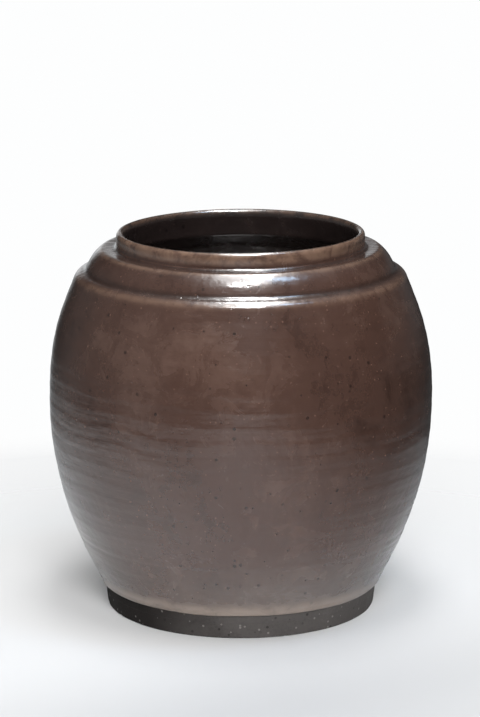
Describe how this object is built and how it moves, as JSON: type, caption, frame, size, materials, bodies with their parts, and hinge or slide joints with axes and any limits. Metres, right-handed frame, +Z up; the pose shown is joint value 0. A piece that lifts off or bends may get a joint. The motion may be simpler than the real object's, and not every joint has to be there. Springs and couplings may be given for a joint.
{
  "type": "onggi jar",
  "caption": "Squat wide-mouthed coil-built stoneware storage jar, dark brown glaze, stepped collar with a flat lid ledge round an upright lip, knife-cut foot.",
  "frame": {"origin": "centre of the foot's flat underside, on the surface that the jar stands on", "axes": "+Z up along the jar's axis, towards the mouth; the jar is round, so X and Y are alike"},
  "size_m": [0.2016, 0.2016, 0.2],
  "materials": {
    "bare_clay": "matte, unglazed, knife-cut",
    "body_clay": "matte fired stoneware under the glaze",
    "glaze_outside": "glossy dark reddish-brown ash glaze",
    "glaze_inside": "glossy dark brown ash glaze"
  },
  "bodies": {
    "root": {"base_slab": "bare_clay", "base_seam_coil": "body_clay", "wall_coil_1": "bare_clay", "wall_coil_2": "body_clay", "wall_coil_3": "body_clay", "wall_coil_4": "body_clay", "wall_coil_5": "body_clay", "shoulder_coil": "body_clay", "collar_coil": "body_clay", "lip_coil": "body_clay", "outside_glaze": "glaze_outside", "inside_glaze": "glaze_inside"}
  },
  "joints": []
}
